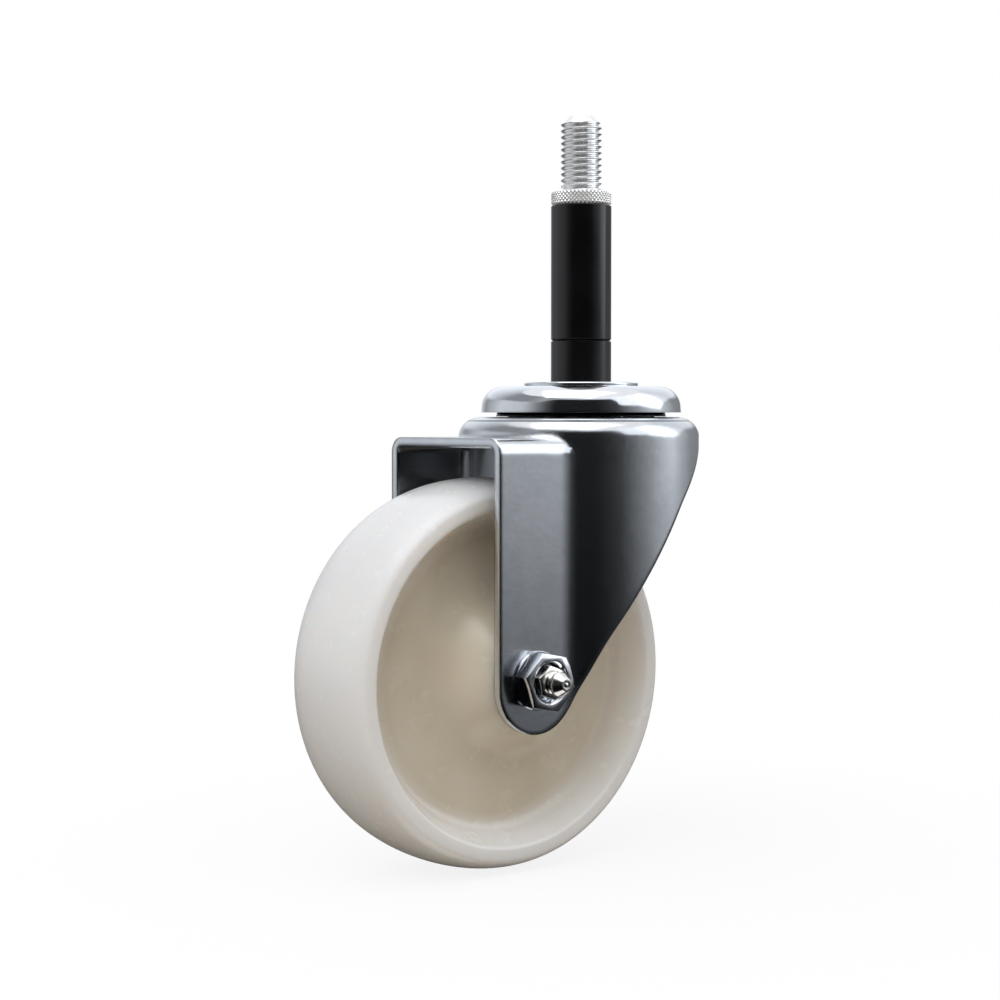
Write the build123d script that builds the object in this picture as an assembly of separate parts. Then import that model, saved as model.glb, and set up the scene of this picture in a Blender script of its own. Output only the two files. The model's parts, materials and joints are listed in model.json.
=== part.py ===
from build123d import *
from math import cos, floor, pi, radians, sin, sqrt
import os

# Swivel caster with an expanding stem, in millimetres. The origin is on the swivel axis, on the
# shoulder that a tube's end rests on. +Z runs up the stem, the axle lies along Y, and the wheel
# trails towards -X. The axle nut and the grease nipple are on the -Y side.

# Stem
stem_radius = 8.15
stem_edge = 0.35
spacer_length = 11.3
sleeve_length = 36.3
knurled_nut_length = 3.6
stud_reach = 20.1  # length of bolt past the knurled nut

# Expander bolt, 7/16 inch
bolt_radius = 5.55
bolt_fit = 0.06  # radial, in the knurled nut
bolt_play = 0.25  # radial, in the kingpin, the spacer and the sleeve
bolt_head_flats = 15.88
bolt_head_height = 7.1
bolt_point = 1.2  # chamfer at the stud's tip
bolt_washer_radius = 11.6
bolt_washer_thickness = 1.5
washer_edge = 0.15

# Hollow kingpin and top cap
kingpin_radius = 9.0
flange_radius = 15.4
flange_thickness = 1.15
flange_edge = 0.3
spacer_seat = 0.3  # recess in the flange that centres the stem's foot
rivet_radius = 11.3
rivet_thickness = 1.3
rivet_edge = 0.5
slip = 0.03  # radial, between pieces that the kingpin clamps
cap_draft = 0.5  # how far the cap's skirt leans in from lip to shoulder
cap_height = 6.95
cap_sheet = 2.8
cap_shoulder = 5.6
cap_inner_corner = 0.6

# Swivel races
upper_ball_radius = 3.175
upper_pitch_radius = 18.0
upper_groove_depth = 0.5
lower_ball_radius = 2.38
lower_pitch_radius = 14.5
lower_groove_depth = 0.5
ball_play = 0.1
race_spacer_wall = 2.0
lower_cup_room = 0.62  # radial, from the lower balls to the cup's rim
lower_cup_sheet = 2.4
lower_cup_lip = 1.4
lower_cup_edge = 0.6
lower_cup_rim = 1.1
lower_cup_rim_slope = 0.4
seal_ball_room = 0.425  # radial, from the upper balls to the seal
seal_wall = 0.6
seal_flare = 0.8  # how far the lip stands out past the wall
seal_cap_room = 1.5  # radial, from the seal to the cap's skirt
seal_gap = 0.12

# Fork, one pressed sheet
fork_sheet = 2.5
fork_hole_radius = 12.3
dome_radius = 32.4
dome_offset = 0.8  # from the swivel axis towards the wheel
dome_shoulder_width = 6.0
dome_shoulder_height = 5.2
dome_rise = 5.3  # from the flat top over the wheel up to the race
fork_inner_width = 42.2
bend_radius = 4.2
crease_radius = 8.0  # outside, where the dome's wall meets a leg
crease_tuck = 0.05  # the channel's plan stops this far inside the dome's wall
boss_radius = 11.85
boss_drop = 1.95  # the round leg end's centre lies this far under the axle
trim_lower_angle = 64.0
trim_lower_length = 18.2
trim_middle_angle = 55.4
trim_middle_length = 42.6
trim_upper_angle = 46.5
back_wall = 7.2  # height of the dome at the back
trim_radii = (60.0, 40.0, 8.0)
beyond = 5.0  # how far the trimming outline runs past the sheet

# Wheel
axle_stand_off = 3.201  # from the dome's wall to the axle's washer, along the leg
wheel_gap = 7.9  # from the wheel's tread up to the fork's roof
wheel_radius = 50.8
wheel_width = 31.75
crown = 4.3
rim_land = 2.9  # flat ring between the tread's corner and the dish
dish_slope = 3.6  # how far the dish narrows from mouth to foot
web_thickness = 14.6
web_corner = 3.6
rim_corner = 1.1
hub_wall = 2.5
hub_foot = 10.6  # how far the hub's foot spreads over the web
hub_root_rise = 1.0
hub_corner = 0.8
hub_blend = 14.0

# Axle
axle_radius = 4.76
axle_play = 0.12
axle_washer_radius = 7.8
axle_washer_thickness = 0.6
axle_nut_flats = 13.8
axle_nut_height = 5.1
nut_turn = -11.5  # degrees that the nut stopped at when tightened
axle_end_recess = 2.4  # the bolt ends this far inside the nut's face
axle_head_flats = 14.29
axle_head_height = 6.2
hex_chamfer = 0.9
axle_point = 0.5  # chamfer at the bolt's end
nut_countersink = 0.7
bushing_wall = 1.5
bushing_edge = 0.4
grease_way_radius = 1.5
thrust_washer_radius = 11.0
thrust_washer_thickness = 0.71
thrust_washer_gap = 0.12

# Roller bearing
roller_radius = 1.2
roller_play = 0.06
roller_count = 13
roller_edge = 0.2
cage_end_room = 1.85  # the cage stops this far inside the hub's face
cage_end_ring = 3.3  # solid ring past the windows
cage_wall = 1.0
cage_window_play = 0.12

# Grease nipple
nipple_hex_flats = 7.7
nipple_hex_height = 3.4
nipple_turn = -20.0  # degrees that the nipple stopped at
nipple_thread_radius = 3.1
nipple_thread_length = 4.6
nipple_thread_fit = 0.05
nipple_socket_room = 0.6  # bore left under the nipple's thread
nipple_neck_radius = 2.35
nipple_neck_length = 1.2
nipple_neck_flare = 0.5
nipple_head_radius = 3.1
nipple_head_length = 1.7
nipple_grip_slope = 0.8
nipple_tip_radius = 1.6
nipple_tip_length = 2.2
nipple_way_radius = 1.25
nipple_mouth_radius = 0.85
nipple_mouth_depth = 0.3
check_ball_radius = 1.1
check_ball_fit = 0.03

# Heights and widths that follow from the sizes above
cap_top = -flange_thickness
cap_underside = cap_top - cap_sheet
fork_top = cap_underside - 2 * (upper_ball_radius - upper_groove_depth)
fork_underside = fork_top - fork_sheet
lower_cup_top = fork_underside - 2 * (lower_ball_radius - lower_groove_depth)
lower_cup_bottom = lower_cup_top - lower_cup_sheet
rivet_bottom = lower_cup_bottom - rivet_thickness
bolt_washer_bottom = rivet_bottom - bolt_washer_thickness
upper_ball_height = cap_underside + upper_groove_depth - upper_ball_radius
lower_ball_height = fork_underside + lower_groove_depth - lower_ball_radius
race_spacer_radius = kingpin_radius + slip + race_spacer_wall
lower_cup_radius = lower_pitch_radius + lower_ball_radius + lower_cup_room + lower_cup_rim
seal_inner_radius = upper_pitch_radius + upper_ball_radius + seal_ball_room
seal_top_radius = seal_inner_radius + seal_wall
seal_lip_radius = seal_top_radius + seal_flare
cap_radius = seal_top_radius + seal_cap_room + cap_sheet + cap_draft
sleeve_bottom = spacer_length
sleeve_top = sleeve_bottom + sleeve_length
knurled_nut_top = sleeve_top + knurled_nut_length
stud_top = knurled_nut_top + stud_reach
plate_top = fork_top - dome_rise
roof_underside = plate_top - fork_sheet
leg_inner = fork_inner_width / 2
leg_outer = leg_inner + fork_sheet
dome_front = dome_offset + sqrt(dome_radius**2 - leg_outer**2)  # where the dome's wall meets a leg's face
trail = dome_front + axle_stand_off + axle_washer_radius
axle_drop = wheel_radius + wheel_gap - roof_underside
axle_face = leg_outer + axle_washer_thickness
nut_face = axle_face + axle_nut_height
axle_end = nut_face - axle_end_recess
bushing_bore = axle_radius + axle_play
bushing_radius = bushing_bore + bushing_wall
roller_pitch = bushing_radius + roller_play + roller_radius
hub_bore = roller_pitch + roller_radius + roller_play
hub_radius = hub_bore + hub_wall
hub_root_radius = hub_radius + hub_foot
hub_length = fork_inner_width - 2 * (thrust_washer_thickness + 2 * thrust_washer_gap)
cage_length = hub_length - 2 * cage_end_room
roller_length = cage_length - 2 * cage_end_ring
dish_mouth_radius = wheel_radius - crown - rim_land
dish_foot_radius = dish_mouth_radius - dish_slope
nipple_face = axle_end + nipple_hex_height


def turned(points):
    """Solid turned about Z from (radius, height) corners."""
    return revolve(make_face(Plane.XZ * Polyline(*points, close=True)), Axis.Z)


def ring(outer, inner, bottom, top, edge=0.0):
    """Ring about Z whose outer corners are broken by edge."""
    section = Plane.XZ * Pos((outer + inner) / 2, (top + bottom) / 2) * Rectangle(outer - inner, top - bottom)
    body = revolve(section, Axis.Z)
    if edge:
        rims = body.edges().filter_by(GeomType.CIRCLE).filter_by(lambda rim: rim.radius > inner + edge)
        body = chamfer(rims, edge)
    return body


def hexagon(flats, bottom, top, chamfered_ends):
    """Hexagonal prism about Z, its corners turned down to a cone at the listed ends."""
    across_corners = flats / cos(radians(30)) / 2
    middle, height = (bottom + top) / 2, top - bottom
    prism = extrude(Pos(0, 0, bottom) * RegularPolygon(across_corners, 6), height)
    cone = Pos(0, 0, middle) * Cylinder(across_corners + 0.01, height)
    rims = [cone.edges().sort_by(Axis.Z)[end] for end in chamfered_ends]
    return prism & chamfer(rims, hex_chamfer / 2, hex_chamfer)


def about_axle(shape):
    """Put a shape made about Z on the axle, its +Z end towards the nut."""
    return Pos(-trail, 0, -axle_drop) * Rot(90, 0, 0) * shape


def ball_ring(pitch, ball, height):
    """As many separate balls as the race holds."""
    count = floor(2 * pi * pitch / (2 * ball + ball_play))
    return Compound([Pos(0, 0, height) * place * Sphere(ball) for place in PolarLocations(pitch, count)])


def race_groove(pitch, ball, height):
    """Torus that leaves the balls their play when it is cut away."""
    return Pos(0, 0, height) * Torus(pitch, ball + ball_play)


def stem_spacer():
    """Hard black ring that carries the rubber, its foot in the flange's recess."""
    return ring(stem_radius, bolt_radius + bolt_play, -spacer_seat, sleeve_bottom, stem_edge)


def expander_sleeve():
    """Rubber tube that swells when the knurled nut is drawn down."""
    return ring(stem_radius, bolt_radius + bolt_play, sleeve_bottom, sleeve_top, stem_edge)


def knurled_nut():
    """Round nut whose knurl grips the tube."""
    return ring(stem_radius, bolt_radius + bolt_fit, sleeve_top, knurled_nut_top, stem_edge)


def expander_bolt():
    """Long bolt from under the fork up through the stem."""
    head = hexagon(bolt_head_flats, bolt_washer_bottom - bolt_head_height, bolt_washer_bottom, [0])
    shank_length = stud_top - bolt_washer_bottom
    shank = Pos(0, 0, bolt_washer_bottom + shank_length / 2) * Cylinder(bolt_radius, shank_length)
    shank = chamfer(shank.edges().sort_by(Axis.Z)[-1], bolt_point)
    return head + shank


def bolt_washer():
    """Flat washer between the bolt's head and the kingpin."""
    return ring(bolt_washer_radius, bolt_radius + bolt_play, bolt_washer_bottom, rivet_bottom, washer_edge)


def kingpin():
    """Hollow rivet with a flange above the cap and a spun-over end under the lower cup."""
    bore = bolt_radius + bolt_play
    return turned(
        [
            (bore, -spacer_seat),
            (stem_radius + slip, -spacer_seat),
            (stem_radius + slip, 0),
            (flange_radius - flange_edge, 0),
            (flange_radius, -flange_edge),
            (flange_radius, cap_top),
            (kingpin_radius, cap_top),
            (kingpin_radius, lower_cup_bottom),
            (rivet_radius, lower_cup_bottom),
            (rivet_radius - rivet_edge, rivet_bottom),
            (bore, rivet_bottom),
        ]
    )


def top_cap():
    """Pressed upper race: flat top, rounded shoulder, leaning skirt and a ball groove below."""
    bore = kingpin_radius + slip
    lip = cap_top - cap_height
    shoulder = cap_radius - cap_draft
    skin = FilletPolyline((bore, cap_top), (shoulder, cap_top), (cap_radius, lip), radius=cap_shoulder)
    lining = FilletPolyline(
        (cap_radius - cap_sheet, lip),
        (shoulder - cap_sheet, cap_underside),
        (bore, cap_underside),
        radius=cap_inner_corner,
    )
    ends = [Line(skin @ 1, lining @ 0), Line(lining @ 1, skin @ 0)]
    cap = revolve(make_face(Plane.XZ * (skin + lining + ends)), Axis.Z)
    return cap - race_groove(upper_pitch_radius, upper_ball_radius, upper_ball_height)


def race_seal():
    """Black dust ring under the cap, flared to a lip over the fork."""
    lip = fork_top + seal_gap
    return turned(
        [
            (seal_inner_radius, cap_underside),
            (seal_top_radius, cap_underside),
            (seal_top_radius, (cap_underside + lip) / 2),
            (seal_lip_radius, lip),
            (seal_inner_radius, lip),
        ]
    )


def race_spacer():
    """Tube that keeps the cap and the lower cup apart."""
    return ring(race_spacer_radius, kingpin_radius + slip, lower_cup_top, cap_underside)


def lower_race_cup():
    """Dished ring with the lower ball groove and a raised rim."""
    rim_top = lower_cup_top + lower_cup_lip
    rim_inside = lower_cup_radius - lower_cup_rim
    dish = turned(
        [
            (kingpin_radius + slip, lower_cup_bottom),
            (lower_cup_radius - lower_cup_edge, lower_cup_bottom),
            (lower_cup_radius, lower_cup_bottom + lower_cup_edge),
            (lower_cup_radius, rim_top),
            (rim_inside, rim_top),
            (rim_inside - lower_cup_rim_slope, lower_cup_top),
            (kingpin_radius + slip, lower_cup_top),
        ]
    )
    return dish - race_groove(lower_pitch_radius, lower_ball_radius, lower_ball_height)


def fork_form(inset):
    """Domed cup and the channel over the wheel as one solid, drawn in by inset."""
    base = -axle_drop - boss_drop - 2 * boss_radius
    top = fork_top - inset
    roof = plate_top - inset
    radius = dome_radius - inset
    length = trail + 2 * boss_radius
    plan = Pos(-dome_offset, 0) * Circle(radius - crease_tuck) + Pos(-length / 2, 0) * Rectangle(length, 2 * (leg_outer - inset))
    creases = plan.vertices().filter_by(lambda corner: -length + 1 < corner.X < -dome_offset)
    plan = fillet(creases, crease_radius + inset)
    channel = extrude(Pos(0, 0, base) * plan, roof - base)
    bends = channel.edges().group_by(Axis.Z)[-1].filter_by(lambda edge: (edge @ 0.5).X > -length + 1)
    channel = fillet(bends, bend_radius - inset)
    width, height = dome_shoulder_width - inset, dome_shoulder_height - inset
    foot = roof - bend_radius
    shoulder = Pos(radius - width, top - height) * Ellipse(width, height)
    crown_flat = Pos((radius - width) / 2, top - height / 2) * Rectangle(radius - width, height)
    wall = Pos(radius / 2, (top - height + foot) / 2) * Rectangle(radius, top - height - foot)
    half = Pos(radius / 2, (top + foot) / 2) * Rectangle(radius, top - foot)
    dome = Pos(-dome_offset, 0, 0) * revolve(Plane.XZ * ((shoulder & half) + crown_flat + wall), Axis.Z)
    return channel + dome


def leg_outline():
    """Side view of the fork: round leg ends, straight front, rear trim up to the dome's back."""
    centre = Vector(-trail, -axle_drop - boss_drop)
    lower = Vector(cos(radians(trim_lower_angle)), sin(radians(trim_lower_angle)))
    middle = Vector(cos(radians(trim_middle_angle)), sin(radians(trim_middle_angle)))
    upper = Vector(cos(radians(trim_upper_angle)), sin(radians(trim_upper_angle)))
    front = centre - Vector(boss_radius, 0)
    heel = centre + Vector(lower.Y, -lower.X) * boss_radius
    knee = heel + lower * trim_lower_length
    hip = knee + middle * trim_middle_length
    back_height = fork_top - back_wall
    shoulder = hip + upper * ((back_height - hip.Y) / upper.Y)
    back = Vector(dome_radius + beyond, back_height)
    rear = FilletPolyline(heel, knee, hip, shoulder, back, radius=trim_radii)
    boss = CenterArc(centre, boss_radius, 180, 90 + trim_lower_angle)
    frame = Polyline(back, (back.X, beyond), (front.X, beyond), front)
    return make_face(rear + boss + frame)


def fork():
    """The pressed sheet: skin less lining, trimmed to its side view, pierced and grooved."""
    sheet = fork_form(0) - fork_form(fork_sheet)
    outline = extrude(Plane.XZ * leg_outline(), dome_radius + beyond, both=True)
    sheet = sheet & outline
    sheet -= Pos(0, 0, fork_underside) * Cylinder(fork_hole_radius, 4 * fork_sheet)
    sheet -= about_axle(Cylinder(axle_radius + axle_play, 4 * dome_radius))
    sheet -= race_groove(upper_pitch_radius, upper_ball_radius, upper_ball_height)
    sheet -= race_groove(lower_pitch_radius, lower_ball_radius, lower_ball_height)
    return sheet


def wheel():
    """Nylon moulding: crowned tread, dished sides, web blended up to the hub."""
    half = wheel_width / 2
    web = web_thickness / 2
    face = hub_length / 2
    side = [
        (hub_bore, face),
        (hub_radius, face),
        (hub_root_radius, web + hub_root_rise),
        (dish_foot_radius, web),
        (dish_mouth_radius, half),
        (wheel_radius - crown, half),
    ]
    corners = (hub_corner, hub_blend, web_corner, rim_corner)
    near = FilletPolyline(*side, radius=corners)
    far = FilletPolyline(*[(radius, -height) for radius, height in side], radius=corners)
    closing = [Line(near @ 1, far @ 1), Line(far @ 0, near @ 0)]
    section = make_face(near + far + closing)
    tread = Pos(wheel_radius - crown, 0) * Ellipse(crown, half)
    keep = Pos(wheel_radius, 0) * Rectangle(2 * crown, wheel_width)
    return about_axle(revolve(Plane.XZ * (section + (tread & keep)), Axis.Z))


def thrust_washer(side):
    """Washer between the hub and a leg; side is 1 towards the nut."""
    low = hub_length / 2 + thrust_washer_gap
    high = leg_inner - thrust_washer_gap
    return about_axle(ring(thrust_washer_radius, bushing_radius + roller_play, *sorted((side * low, side * high))))


def axle_bushing():
    """Hard tube that the legs clamp, with a cross hole for the grease."""
    tube = ring(bushing_radius, bushing_bore, -leg_inner, leg_inner, bushing_edge)
    return about_axle(tube - Rot(0, 90, 0) * Cylinder(grease_way_radius, 2 * bushing_radius + 1))


def roller_cage():
    """Thin tube with a window for each roller."""
    mid = roller_pitch
    tube = ring(mid + cage_wall / 2, mid - cage_wall / 2, -cage_length / 2, cage_length / 2)
    play = 2 * cage_window_play
    window = Box(4 * cage_wall, 2 * roller_radius + play, roller_length + play)
    for place in PolarLocations(roller_pitch, roller_count):
        tube -= place * window
    return about_axle(tube)


def rollers():
    """Separate rollers round the bushing."""
    roller = Cylinder(roller_radius, roller_length)
    roller = chamfer(roller.edges().filter_by(GeomType.CIRCLE), roller_edge)
    return about_axle(Compound([place * roller for place in PolarLocations(roller_pitch, roller_count)]))


def axle_bolt():
    """Hollow bolt: head on the far side, grease way from the nipple to the bushing."""
    head_base = -axle_face
    shank_length = axle_end - head_base
    shank = Pos(0, 0, head_base + shank_length / 2) * Cylinder(axle_radius, shank_length)
    shank = chamfer(shank.edges().sort_by(Axis.Z)[-1], axle_point)
    bolt = shank + hexagon(axle_head_flats, head_base - axle_head_height, head_base, [0])
    socket_depth = nipple_thread_length + nipple_socket_room
    bolt -= Pos(0, 0, axle_end - socket_depth / 2) * Cylinder(nipple_thread_radius + nipple_thread_fit, socket_depth)
    way_length = axle_end + grease_way_radius
    bolt -= Pos(0, 0, axle_end - way_length / 2) * Cylinder(grease_way_radius, way_length)
    bolt -= Rot(0, 90, 0) * Cylinder(grease_way_radius, 2 * axle_radius + 1)
    return about_axle(bolt)


def axle_washer(side):
    """Flat washer on the outside of a leg; side is 1 under the nut."""
    span = sorted((side * leg_outer, side * axle_face))
    return about_axle(ring(axle_washer_radius, axle_radius + axle_play, *span, washer_edge))


def axle_nut():
    """Hexagon nut, chamfered and countersunk at its face."""
    nut = hexagon(axle_nut_flats, axle_face, nut_face, [-1])
    nut -= Pos(0, 0, (axle_face + nut_face) / 2) * Cylinder(axle_radius + slip, axle_nut_height)
    rim = nut.edges().filter_by(GeomType.CIRCLE).filter_by(lambda edge: edge.radius < axle_radius + 2 * slip)
    return about_axle(Rot(0, 0, nut_turn) * chamfer(rim.sort_by(Axis.Z)[-1], nut_countersink))


def grease_nipple():
    """Nipple with its hexagon, neck, gripped head and a way through for the grease."""
    base = axle_end
    neck = nipple_face + nipple_neck_length
    head = neck + nipple_head_length
    tip = head + nipple_tip_length
    stem = turned(
        [
            (0, base - nipple_thread_length),
            (nipple_thread_radius, base - nipple_thread_length),
            (nipple_thread_radius, base),
            (nipple_thread_radius, nipple_face),
            (nipple_neck_radius + nipple_neck_flare, nipple_face),
            (nipple_neck_radius, nipple_face + nipple_neck_flare),
            (nipple_neck_radius, neck),
            (nipple_head_radius, neck + nipple_grip_slope),
            (nipple_head_radius, head),
            (nipple_tip_radius, tip),
            (0, tip),
        ]
    )
    body = stem + Rot(0, 0, nipple_turn) * hexagon(nipple_hex_flats, base, nipple_face, [-1])
    way_bottom = base - nipple_thread_length
    way_top = tip - nipple_mouth_depth
    body -= Pos(0, 0, (way_bottom + way_top) / 2) * Cylinder(nipple_way_radius, way_top - way_bottom)
    body -= Pos(0, 0, tip) * Cylinder(nipple_mouth_radius, 4 * nipple_mouth_depth)
    return about_axle(body)


def check_ball():
    """Small ball that closes the nipple's mouth from inside."""
    tip = nipple_face + nipple_neck_length + nipple_head_length + nipple_tip_length
    under_edge = sqrt(check_ball_radius**2 - nipple_mouth_radius**2)
    height = tip - nipple_mouth_depth - under_edge - check_ball_fit
    return about_axle(Pos(0, 0, height) * Sphere(check_ball_radius))


PIECES = {
    "top_cap": top_cap,
    "kingpin": kingpin,
    "race_spacer": race_spacer,
    "lower_race_cup": lower_race_cup,
    "race_seal": race_seal,
    "stem_spacer": stem_spacer,
    "expander_sleeve": expander_sleeve,
    "knurled_nut": knurled_nut,
    "expander_bolt": expander_bolt,
    "bolt_washer": bolt_washer,
    "upper_balls": lambda: ball_ring(upper_pitch_radius, upper_ball_radius, upper_ball_height),
    "lower_balls": lambda: ball_ring(lower_pitch_radius, lower_ball_radius, lower_ball_height),
    "fork": fork,
    "wheel": wheel,
    "thrust_washer_near": lambda: thrust_washer(1),
    "thrust_washer_far": lambda: thrust_washer(-1),
    "axle_bushing": axle_bushing,
    "roller_cage": roller_cage,
    "rollers": rollers,
    "axle_bolt": axle_bolt,
    "axle_washer_near": lambda: axle_washer(1),
    "axle_washer_far": lambda: axle_washer(-1),
    "axle_nut": axle_nut,
    "grease_nipple": grease_nipple,
    "check_ball": check_ball,
}

os.makedirs("parts", exist_ok=True)
for name, make in PIECES.items():
    export_step(make(), f"parts/{name}.step")
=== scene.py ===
"""Looks of a swivel caster with an expanding stem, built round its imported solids.

Every object is in metres, in the solids' own frame. The origin is on the swivel axis, at the
shoulder under the stem, +Z runs up the stem, the axle lies along Y and the wheel trails to -X.
"""
import json
import logging
import math
from collections.abc import Callable, Iterator
from contextlib import contextmanager
from dataclasses import dataclass
from enum import Enum
from itertools import pairwise
from typing import NamedTuple

import bpy
from mathutils import Matrix, Vector


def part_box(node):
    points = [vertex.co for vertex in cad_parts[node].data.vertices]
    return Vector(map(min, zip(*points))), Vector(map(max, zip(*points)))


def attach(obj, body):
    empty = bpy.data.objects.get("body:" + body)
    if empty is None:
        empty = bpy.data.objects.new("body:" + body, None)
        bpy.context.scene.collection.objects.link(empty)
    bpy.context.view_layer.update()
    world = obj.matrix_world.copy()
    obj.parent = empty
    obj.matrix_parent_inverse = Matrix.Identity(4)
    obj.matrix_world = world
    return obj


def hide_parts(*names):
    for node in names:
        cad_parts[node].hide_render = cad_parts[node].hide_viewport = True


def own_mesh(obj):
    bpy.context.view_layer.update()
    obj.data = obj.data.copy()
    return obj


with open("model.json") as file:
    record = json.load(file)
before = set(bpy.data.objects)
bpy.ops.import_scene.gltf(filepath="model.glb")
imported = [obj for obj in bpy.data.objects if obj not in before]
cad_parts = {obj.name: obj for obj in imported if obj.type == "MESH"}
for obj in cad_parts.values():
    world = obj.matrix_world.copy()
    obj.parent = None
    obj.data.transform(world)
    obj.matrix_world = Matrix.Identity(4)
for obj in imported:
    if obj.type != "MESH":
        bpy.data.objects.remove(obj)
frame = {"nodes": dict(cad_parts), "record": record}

LOG = logging.getLogger("caster")
MM = 0.001

# Vertices closer than this are merged, and faces that turn by less than FLAT become one.
MERGE = 0.000001
FLAT = math.radians(0.2)
ROUND_SIDES = 96

# The axle, the dome's own axis and its inside radius, and the sheet's thickness.
AXLE = Vector((-34.0, 0.0, -75.8)) * MM
DOME = Vector((-0.8, 0.0, 0.0)) * MM
DOME_INSIDE = 29.9 * MM
SHEET = 2.5 * MM

# Where the legs run into the dome's wall, and where the channel's top meets the dome.
CREASE_X = -25.5 * MM
SEAM_Z = -18.8 * MM

Colour = tuple[float, float, float]
Span = tuple[float, float]
Socket = bpy.types.NodeSocket

WHITE: Colour = (1.0, 1.0, 1.0)


class Grain(Enum):
    """How the grain of a metal's surface runs."""

    SPECKLED = (1.0, 1.0, 1.0)
    UPRIGHT = (1.0, 1.0, 0.12)


class Nodes:
    """One node tree, with short calls for the nodes that materials and world share.

    MIX_SOCKETS gives the places of a Mix node's two inputs and its output, by kind.
    """

    MIX_SOCKETS = {"RGBA": (6, 7, 2), "VECTOR": (4, 5, 1)}

    def __init__(self, tree: bpy.types.NodeTree, output: str) -> None:
        """Empty a tree and add its output.

        Args:
            tree: The tree to build in.
            output: What it is for, Material or World.
        """
        self.tree = tree
        self.tree.nodes.clear()
        self.output = self.tree.nodes.new("ShaderNodeOutput" + output)

    def node(self, kind: str, **inputs: object) -> bpy.types.Node:
        """Add a node and fill its sockets.

        Args:
            kind: The node's type, without its ShaderNode prefix.
            **inputs: Socket names, with _ for a space, and their values or what feeds them.

        Returns:
            The new node.
        """
        made = self.tree.nodes.new("ShaderNode" + kind)
        for socket, value in inputs.items():
            self.feed(made.inputs[socket.replace("_", " ")], value)
        return made

    def feed(self, socket: Socket, value: object) -> None:
        """Link a socket to another one, or set its value."""
        if isinstance(value, bpy.types.NodeSocket):
            self.tree.links.new(value, socket)
        elif isinstance(value, tuple) and len(value) == 3 and socket.type == "RGBA":
            socket.default_value = (*value, 1.0)
        else:
            socket.default_value = value

    def close(self, shader: Socket) -> None:
        """Link the finished shader to the tree's output."""
        self.feed(self.output.inputs["Surface"], shader)

    def place(
        self, scale: tuple[float, float, float] = (1.0, 1.0, 1.0), centre: Vector = Vector()
    ) -> Socket:
        """The point's own coordinates, centred and stretched.

        Args:
            scale: Stretch along each axis.
            centre: The point that becomes the pattern's origin.

        Returns:
            The socket with the coordinates.
        """
        point = self.node("TexCoord").outputs["Object"]
        shift = tuple(-part * stretch for part, stretch in zip(centre, scale))
        return self.node("Mapping", Vector=point, Location=shift, Scale=scale).outputs["Vector"]

    def parts(self, vector: Socket) -> bpy.types.NodeOutputs:
        """The X, Y and Z of a vector, by name."""
        return self.node("SeparateXYZ", Vector=vector).outputs

    def length(self, vector: Socket) -> Socket:
        """The length of a vector."""
        made = self.node("VectorMath", Vector=vector)
        made.operation = "LENGTH"
        return made.outputs["Value"]

    def noise(
        self, place: Socket, size: float, detail: float = 2.0, rough: float = 0.5
    ) -> Socket:
        """Noise whose lumps are about size metres across."""
        made = self.node("TexNoise", Vector=place, Scale=1.0 / size, Detail=detail, Roughness=rough)
        return made.outputs["Fac"]

    def spread(
        self, value: Socket, low: float, high: float, start: float = 0.3, end: float = 0.7
    ) -> Socket:
        """Stretch a value from start..end to low..high, and stop there."""
        made = self.node("MapRange")
        for index, part in enumerate((value, start, end, low, high)):
            self.feed(made.inputs[index], part)
        return made.outputs["Result"]

    def combine(self, operation: str, first: Socket, second: object = 0.0) -> Socket:
        """Work one value out from two."""
        made = self.node("Math")
        made.operation = operation
        self.feed(made.inputs[0], first)
        self.feed(made.inputs[1], second)
        return made.outputs[0]

    def mix(
        self, kind: str, share: object, first: object, second: object, blend: str = "MIX"
    ) -> Socket:
        """Blend two colours or two directions.

        Args:
            kind: RGBA for colours, VECTOR for directions.
            share: How much of the second there is.
            first: What there is at a share of 0.
            second: What there is at a share of 1.
            blend: How the second is laid over the first.

        Returns:
            The socket with the blend.
        """
        made = self.node("Mix", Factor=share)
        made.data_type, made.blend_type = kind, blend
        under, over, result = self.MIX_SOCKETS[kind]
        self.feed(made.inputs[under], first)
        self.feed(made.inputs[over], second)
        return made.outputs[result]

    def mix_shaders(self, share: Socket, first: Socket, second: Socket) -> Socket:
        """Blend two shaders, the second where share is 1."""
        made = self.node("MixShader", Fac=share)
        self.feed(made.inputs[1], first)
        self.feed(made.inputs[2], second)
        return made.outputs[0]

    def ramp(self, value: Socket, stops: list[tuple[float, Colour]]) -> Socket:
        """Colours along a value.

        Args:
            value: The socket that runs from 0 to 1.
            stops: Places along it and their colours.

        Returns:
            The socket with the colour.
        """
        made = self.node("ValToRGB", Fac=value)
        elements = made.color_ramp.elements
        while len(elements) < len(stops):
            elements.new(0.5)
        for element, (position, colour) in zip(elements, stops):
            element.position = position
            element.color = (*colour, 1.0)
        return made.outputs["Color"]

    def bump(self, height: Socket, depth: float, before: Socket | None = None) -> Socket:
        """Turn a height into a bump whose full depth is given in metres."""
        made = self.node("Bump", Height=height, Distance=depth, Strength=1.0)
        if before is not None:
            self.feed(made.inputs["Normal"], before)
        return made.outputs["Normal"]


class Shader(Nodes):
    """The node tree of one new material."""

    def __init__(self, name: str) -> None:
        """Start an empty material.

        Args:
            name: What the material is called.
        """
        self.material = bpy.data.materials.new(name)
        self.material.use_nodes = True
        super().__init__(self.material.node_tree, "Material")

    def surface(self, **inputs: object) -> bpy.types.Material:
        """Close the tree with the main shader and return the material."""
        self.close(self.node("BsdfPrincipled", **inputs).outputs["BSDF"])
        return self.material


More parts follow.
